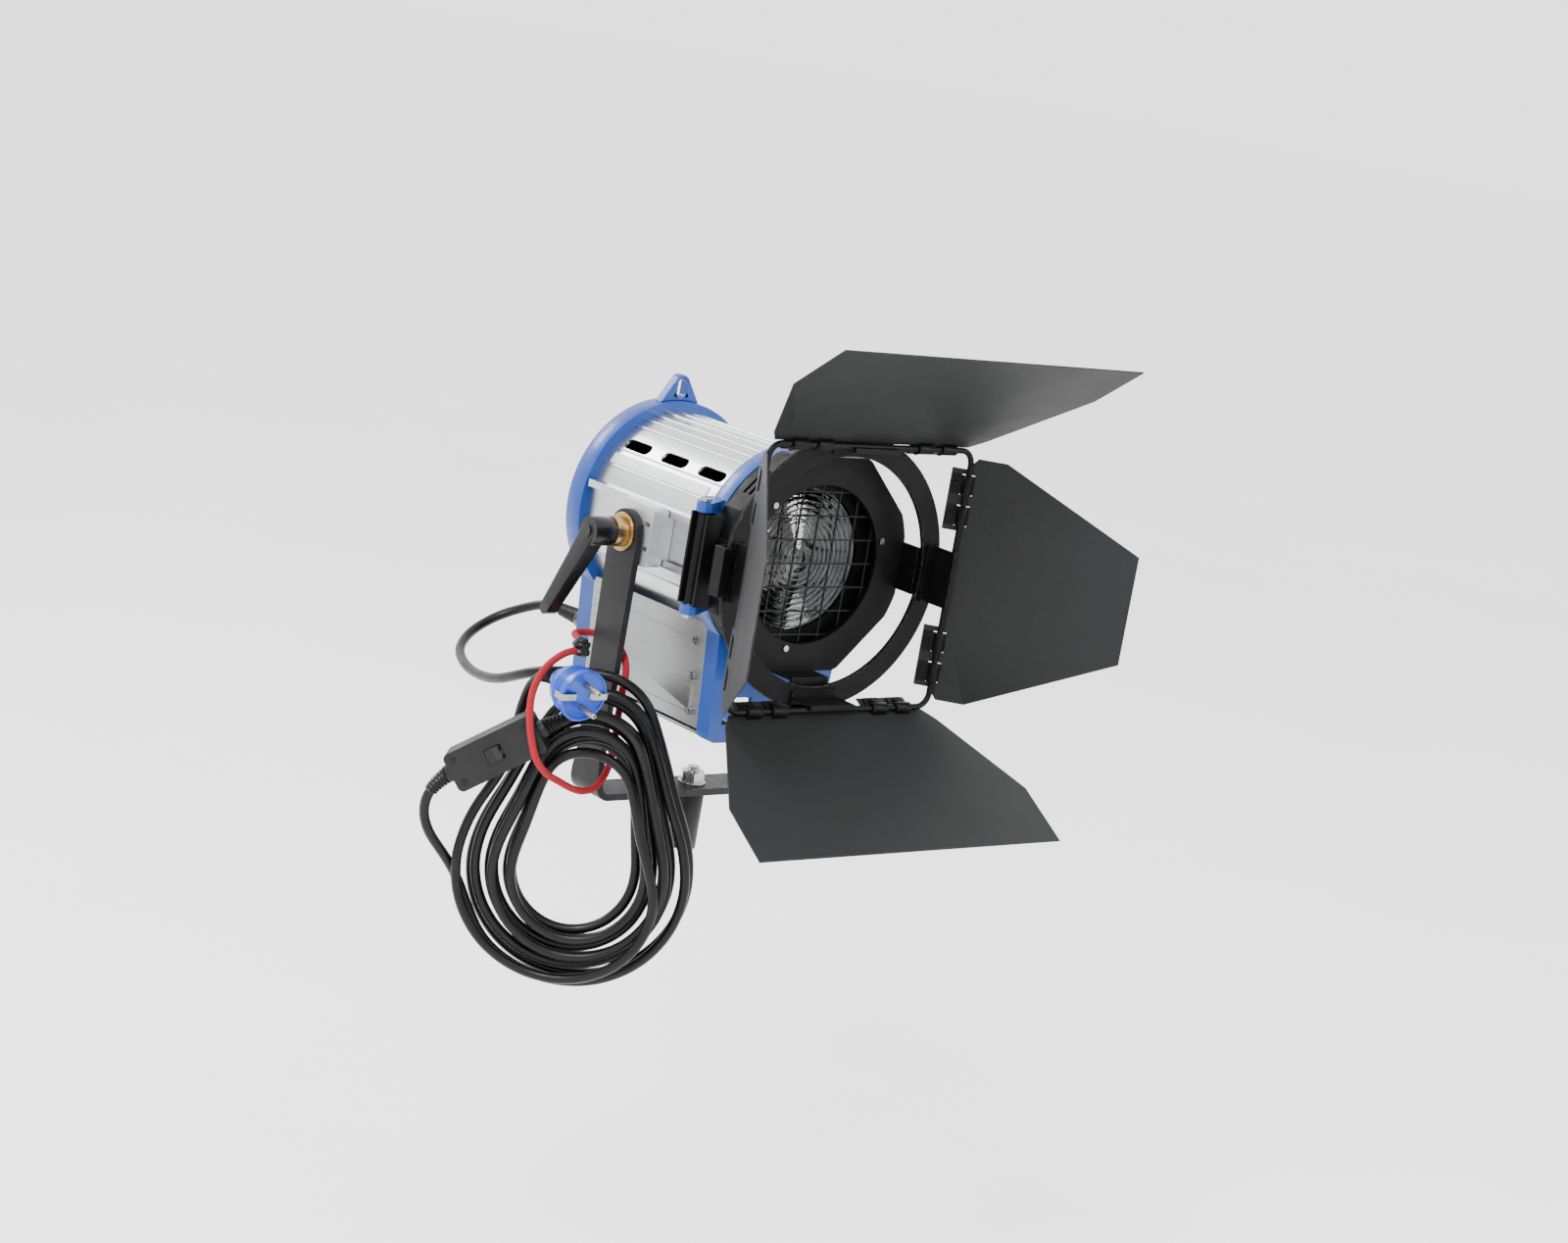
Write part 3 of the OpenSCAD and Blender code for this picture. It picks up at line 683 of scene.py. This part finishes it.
def coating(
    name, dark, light, rough, grain, depth,
    metallic=0.0, coat=0.0, patch=22, strength=0.35, shine=0.5,
):
    """Paint, plastic or metal: two close tones in patches, smudges in roughness, grain in bump."""
    material, tree, shader = node_material(name)
    vector = place_nodes(tree, UNSTRETCHED)
    colour = ramp(tree, noise(tree, vector, patch), [(0.35, dark), (0.65, light)])
    fine = noise(tree, vector, grain, detail=2)
    tree.links.new(colour, shader.inputs["Base Color"])
    smudge = noise(tree, vector, patch * SMUDGES_PER_PATCH, detail=4)
    tree.links.new(spread(tree, smudge, rough[0], rough[1]), shader.inputs["Roughness"])
    tree.links.new(bumped(tree, fine, strength, depth), shader.inputs["Normal"])
    shader.inputs["Metallic"].default_value = metallic
    shader.inputs["Specular IOR Level"].default_value = shine
    shader.inputs["Coat Weight"].default_value = coat
    shader.inputs["Coat Roughness"].default_value = COAT_ROUGHNESS
    return material


def worn_copy(material, colour):
    """The same finish rubbed through in patches, for the rounded edges."""
    worn = material.copy()
    worn.name = material.name + "_edge"
    tree = worn.node_tree
    shader = tree.nodes["Principled BSDF"]
    finish = shader.inputs["Base Color"].links[0].from_socket
    rubbing = noise(tree, place_nodes(tree, UNSTRETCHED), scale=240, detail=4)
    patches = spread(tree, rubbing, low=0, high=0.6, from_low=0.50, from_high=0.66)
    tree.links.new(mixed(tree, patches, finish, colour), shader.inputs["Base Color"])
    return worn


def painted_shade_inside_tube(tree, radius):
    """1 nearer to the lamp's axis than the radius: the mask of the near-black painted shade inside
    the tube.
    """
    across = place_nodes(tree, (1, 0, 1))
    centre = tree.nodes.new("ShaderNodeVectorMath")
    centre.operation = "DISTANCE"
    centre.inputs[1].default_value = (0, 0, PIVOT_Z)
    tree.links.new(across, centre.inputs[0])
    edge = radius + PAINTED_SHADE_EDGE
    return spread(tree, centre.outputs["Value"], low=1, high=0, from_low=radius, from_high=edge)


def brushed(
    name, dark, light, rough, stretch,
    grain=900, depth=0.00004, strength=0.3, black_within=None,
):
    """Metal with fine lines along one axis in its tone, roughness and bump."""
    material, tree, shader = node_material(name)
    lines = noise(tree, place_nodes(tree, stretch), grain, detail=5, rough=0.65)
    cloud = noise(tree, place_nodes(tree, UNSTRETCHED), scale=14, detail=3)
    colour = ramp(tree, lines, [(0.3, dark), (0.7, light)])
    dull = ramp(tree, cloud, [(0.3, tuple(v * DULLED for v in light)), (0.7, light)])
    half = tree.nodes.new("ShaderNodeMix")
    half.data_type = "RGBA"
    half.blend_type = "MULTIPLY"
    half.inputs["Factor"].default_value = 0.5
    tree.links.new(colour, half.inputs["A"])
    tree.links.new(dull, half.inputs["B"])
    colour = half.outputs["Result"]
    # within the given radius of the lamp's axis the tone turns near black: painted shade on the
    # inside of the tube
    if black_within:
        colour = mixed(tree, painted_shade_inside_tube(tree, black_within), colour, PAINTED_SHADE_INSIDE)
    tree.links.new(colour, shader.inputs["Base Color"])
    tree.links.new(spread(tree, lines, rough[0], rough[1]), shader.inputs["Roughness"])
    tree.links.new(bumped(tree, lines, strength, depth), shader.inputs["Normal"])
    shader.inputs["Metallic"].default_value = 1.0
    return material


def clear(name, tint, rough, ior):
    """Glass with faint smears of dust."""
    material, tree, shader = node_material(name)
    dust = noise(tree, place_nodes(tree, UNSTRETCHED), scale=60, detail=5)
    smeared = spread(tree, dust, rough, rough + DUST_ROUGHER, from_low=0.55, from_high=0.8)
    tree.links.new(smeared, shader.inputs["Roughness"])
    shader.inputs["Base Color"].default_value = (*tint, 1)
    shader.inputs["Transmission Weight"].default_value = 1.0
    shader.inputs["IOR"].default_value = ior
    return material


def braided(name, dark, light, ticks_along, ticks_round):
    """Two sets of strands that cross over and under each other round a cord."""
    material, tree, shader = node_material(name)
    heights = []
    for lean in (1, -1):
        wave = tree.nodes.new("ShaderNodeTexWave")
        wave.wave_type = "BANDS"
        wave.bands_direction = "DIAGONAL"
        wave.inputs["Scale"].default_value = 1.0
        vector = place_nodes(tree, (ticks_along, lean * ticks_round, 0), uv=True)
        tree.links.new(vector, wave.inputs["Vector"])
        heights.append(wave.outputs["Fac"])
    weave = product(tree, *heights)
    tree.links.new(ramp(tree, weave, [(0.0, dark), (0.6, light)]), shader.inputs["Base Color"])
    tree.links.new(bumped(tree, weave, strength=0.7, depth=0.0006), shader.inputs["Normal"])
    fuzz = noise(tree, place_nodes(tree, UNSTRETCHED), scale=700, detail=3)
    tree.links.new(spread(tree, fuzz, low=0.7, high=0.95), shader.inputs["Roughness"])
    shader.inputs["Sheen Weight"].default_value = 0.05
    shader.inputs["Specular IOR Level"].default_value = 0.2
    return material


looks = {}


def add_look(maker, name, *tones, **finish):
    looks[name] = maker(name, *tones, **finish)


add_look(coating, "yoke_paint", (0.006, 0.006, 0.0065), (0.010, 0.010, 0.011),
         rough=(0.42, 0.55), grain=1500, depth=0.00012, shine=0.25)
add_look(coating, "black_satin", (0.0020, 0.0020, 0.0022), (0.0040, 0.0040, 0.0045),
         rough=(0.38, 0.52), grain=1300, depth=0.00008, shine=0.10)
add_look(coating, "leaf_matte", (0.0080, 0.0083, 0.0088), (0.0086, 0.0089, 0.0095),
         rough=(0.52, 0.58), grain=1800, depth=0.00022, patch=7, strength=0.5, shine=0.2)
add_look(coating, "blue_enamel", (0.0055, 0.036, 0.195), (0.0075, 0.044, 0.225),
         rough=(0.32, 0.42), grain=520, depth=0.00008, coat=0.12, shine=0.3)
# tube_metal carries painted shade: near black within the tube's radius of the lamp's axis
add_look(brushed, "tube_metal", (0.58, 0.59, 0.60), (0.70, 0.71, 0.72),
         rough=(0.28, 0.33), stretch=(1, 0.01, 1), strength=0.02, black_within=0.0815)
add_look(coating, "cast_silver", (0.40, 0.41, 0.42), (0.48, 0.49, 0.50),
         rough=(0.34, 0.46), grain=1100, depth=0.0001, metallic=0.6)
add_look(brushed, "panel_metal", (0.34, 0.345, 0.35), (0.46, 0.465, 0.47),
         rough=(0.34, 0.48), stretch=(1, 0.03, 1), strength=0.15)
add_look(brushed, "bright_steel", (0.36, 0.36, 0.37), (0.56, 0.56, 0.57),
         rough=(0.16, 0.34), stretch=(1, 1, 0.2))
add_look(coating, "dark_wire", (0.004, 0.004, 0.0045), (0.010, 0.010, 0.011),
         rough=(0.35, 0.5), grain=2000, depth=0.00005, metallic=0.3, shine=0.2)
add_look(brushed, "brass", (0.38, 0.27, 0.13), (0.62, 0.47, 0.26),
         rough=(0.24, 0.40), stretch=(0.1, 1, 1))
add_look(coating, "lever_plastic", (0.0022, 0.0022, 0.0025), (0.0045, 0.0045, 0.0050),
         rough=(0.20, 0.34), grain=900, depth=0.00006, coat=0.10, shine=0.25)
add_look(coating, "label", (0.48, 0.49, 0.50), (0.56, 0.57, 0.58),
         rough=(0.32, 0.5), grain=700, depth=0.00003, metallic=0.2)
add_look(coating, "cable_rubber", (0.0016, 0.0016, 0.0018), (0.0036, 0.0036, 0.0040),
         rough=(0.28, 0.44), grain=420, depth=0.00012, patch=30, strength=0.3, shine=0.2)
add_look(coating, "fibre", (0.10, 0.085, 0.07), (0.16, 0.14, 0.12),
         rough=(0.7, 0.9), grain=1500, depth=0.0002)
add_look(brushed, "mirror", (0.50, 0.51, 0.52), (0.58, 0.59, 0.60),
         rough=(0.10, 0.20), stretch=UNSTRETCHED, grain=60, depth=0.00002, strength=0.02)
add_look(coating, "ceramic", (0.20, 0.19, 0.17), (0.28, 0.26, 0.24),
         rough=(0.3, 0.5), grain=1100, depth=0.00006)
add_look(clear, "quartz", tint=(0.96, 0.98, 1.0), rough=0.01, ior=1.46)
add_look(clear, "lens_clear", tint=(0.93, 0.98, 0.97), rough=0.005, ior=1.47)
# an opaque grey for the lens's risers: partly their frosted finish, partly a painted highlight
add_look(coating, "lens_riser", (0.09, 0.10, 0.10), (0.30, 0.33, 0.33),
         rough=(0.15, 0.35), grain=900, depth=0.00003)
add_look(coating, "tungsten", (0.30, 0.29, 0.28), (0.45, 0.44, 0.42),
         rough=(0.3, 0.5), grain=3000, depth=0.00003, metallic=1.0)
add_look(coating, "plug_plastic", (0.004, 0.036, 0.33), (0.007, 0.050, 0.40),
         rough=(0.24, 0.36), grain=800, depth=0.00005, coat=0.15, shine=0.3)
add_look(brushed, "pin_metal", (0.34, 0.32, 0.28), (0.56, 0.54, 0.49),
         rough=(0.30, 0.44), stretch=(1, 1, 0.2))
add_look(coating, "switch_plastic", (0.0050, 0.0050, 0.0055), (0.0085, 0.0085, 0.0090),
         rough=(0.42, 0.58), grain=1600, depth=0.00016, shine=0.22)
add_look(braided, "red_braid", (0.25, 0.003, 0.010), (0.56, 0.010, 0.028),
         ticks_along=5.2, ticks_round=25)

# what shows where a finish is rubbed through
WORN_EDGES = {
    "yoke_paint": (0.08, 0.08, 0.085),
    "black_satin": (0.05, 0.05, 0.05),
    "leaf_matte": (0.07, 0.07, 0.075),
    "blue_enamel": (0.08, 0.15, 0.38),
    "cast_silver": (0.65, 0.65, 0.66),
    "lever_plastic": (0.03, 0.03, 0.032),
    "switch_plastic": (0.04, 0.04, 0.042),
}
edge_looks = {look: worn_copy(looks[look], colour) for look, colour in WORN_EDGES.items()}

NODE_LOOKS = {
    "yoke_paint": "yoke_strap spigot_socket",
    "black_satin": "rear_cover door_frame hinge_channel lens_ring claws barn_ring ring_brackets "
                   "rod_frame straps_top straps_right straps_bottom straps_left top_latch",
    "leaf_matte": "leaf_top leaf_right leaf_bottom leaf_left",
    "blue_enamel": "front_casting rear_casting safety_eye",
    "tube_metal": "tube_shell side_rails lamp_carriage",
    "cast_silver": "pivot_block_left pivot_block_right",
    "panel_metal": "side_panels base_floor",
    "bright_steel": "socket_bolt lock_screw panel_screws pivot_studs hinge_pin guide_rods "
                    "focus_spindle door_latch guard_screws",
    # box_screws take this near-black steel as painted shade of the holes they sit in
    "dark_wire": "wire_guard box_screws",
    "brass": "clamp_washers lever_insert",
    "lever_plastic": "lever_handle focus_knob cable_gland switch_rocker",
    "label": "label_plate",
    "fibre": "friction_washers",
    "mirror": "reflector",
    "ceramic": "lamp_holder",
    "switch_plastic": "switch_box",
}
# a look, the name of its slot, and the pieces that have it
PIECE_LOOKS = (
    ("cable_rubber", "rubber", (lamp_cord, mains_cord, relief, boot_in, boot_out, boot_plug)),
    ("red_braid", "red_cord", (tie_loop,)),
    ("lever_plastic", "lever_black", (toggle,)),
    ("plug_plastic", "plug_blue", (plug,)),
    ("pin_metal", "pins", (contacts,)),
    # the disc behind the vents is black as painted shade
    ("black_satin", "black_paint", (shade_disc,)),
    ("lens_clear", "lens_glass", (lens_glass,)),
    ("quartz", "bulb_glass", (envelope,)),
    ("tungsten", "bulb_glass", (filament,)),
)
# bevel widths in millimetres; the other nodes take BEVEL_PLAIN
BEVEL_WIDE = {
    1.2: "front_casting rear_casting safety_eye",
    0.9: "lever_handle",
    0.8: "door_frame yoke_strap switch_box",
    0.7: "barn_ring spigot_socket",
    0.6: "switch_rocker pivot_block_left pivot_block_right",
    0.5: "claws top_latch",
}
bevel_of = {name: width for width, names in BEVEL_WIDE.items() for name in names.split()}
BEVEL_PLAIN = 0.3
BEVEL_SEGMENTS = 2
WELD_WITHIN = 0.00001
SECOND_SLOT = 1
LEFT_SHARP = "tube_shell label_plate wire_guard lens_ring reflector lamp_carriage".split()


def dress(obj, material):
    obj.data.materials.clear()
    obj.data.materials.append(material)


def soften_edges(obj, width, edge_look):
    """Rounds a CAD node's edges with modifiers, which leave its mesh as it is."""
    weld = obj.modifiers.new("weld", "WELD")
    weld.merge_threshold = WELD_WITHIN
    bevel = obj.modifiers.new("edges", "BEVEL")
    bevel.width = width
    bevel.segments = BEVEL_SEGMENTS
    bevel.limit_method = "ANGLE"
    bevel.angle_limit = math.radians(SHARP_DEGREES)
    bevel.harden_normals = True
    if edge_look is not None:
        obj.data.materials.append(edge_look)
        bevel.material = SECOND_SLOT


for look, names in NODE_LOOKS.items():
    for name in names.split():
        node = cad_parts[name]
        dress(node, looks[look])
        if name not in LEFT_SHARP:
            soften_edges(node, bevel_of.get(name, BEVEL_PLAIN) * MM, edge_looks.get(look))
for look, slot_name, pieces in PIECE_LOOKS:
    for piece in pieces:
        dress(piece, looks[look])

# the lens's risers, which the mould leaves frosted, in an opaque light grey that is partly that
# frost and partly a painted highlight, so that they show as bright rings
lens_glass.data.materials.append(looks["lens_riser"])
for face in lens_glass.data.polygons:
    from_axis = math.hypot(face.center.x, face.center.z - PIVOT_Z)
    on_a_step = DOME_R * 0.9 < from_axis < LENS_STEPPED_R * 0.99
    if on_a_step and abs(face.normal.y) < 0.5:
        face.material_index = SECOND_SLOT


# ---- floor and studio light ----

FLOOR_Z = -0.42
FLOOR_SIZE = 40
FLOOR_GLOW = 0.08
WORLD_STRENGTH = 2.3
LIGHTS_AIM = (0, 0, 0.25)


def floor_mesh(bm):
    bmesh.ops.create_grid(bm, x_segments=2, y_segments=2, size=FLOOR_SIZE)


def make_floor():
    piece = new_object("floor", floor_mesh)
    piece.location.z = FLOOR_Z
    paper = coating("floor", (0.91, 0.91, 0.91), (0.94, 0.94, 0.94),
                    rough=(0.8, 0.95), grain=60, depth=0.0002, patch=2)
    shader = paper.node_tree.nodes["Principled BSDF"]
    shader.inputs["Emission Color"].default_value = (1, 1, 1, 1)
    shader.inputs["Emission Strength"].default_value = FLOOR_GLOW
    dress(piece, paper)


def soft_light(name, at, size, power):
    data = bpy.data.lights.new(name, "AREA")
    data.shape = "DISK"
    data.size = size
    data.energy = power
    lamp = bpy.data.objects.new(name, data)
    lamp.location = at
    lamp.rotation_euler = (Vector(LIGHTS_AIM) - Vector(at)).to_track_quat("-Z", "Y").to_euler()
    bpy.context.scene.collection.objects.link(lamp)


def make_world():
    world = bpy.data.worlds.new("studio")
    world.use_nodes = True
    background = world.node_tree.nodes["Background"]
    background.inputs["Color"].default_value = (1, 1, 1, 1)
    background.inputs["Strength"].default_value = WORLD_STRENGTH
    bpy.context.scene.world = world


make_floor()
make_world()
soft_light("key", at=(-1.7, -0.9, 1.9), size=0.7, power=75)
soft_light("fill", at=(1.4, -2.2, 1.3), size=0.9, power=45)
soft_light("rim", at=(-0.6, 2.0, 1.6), size=0.8, power=40)
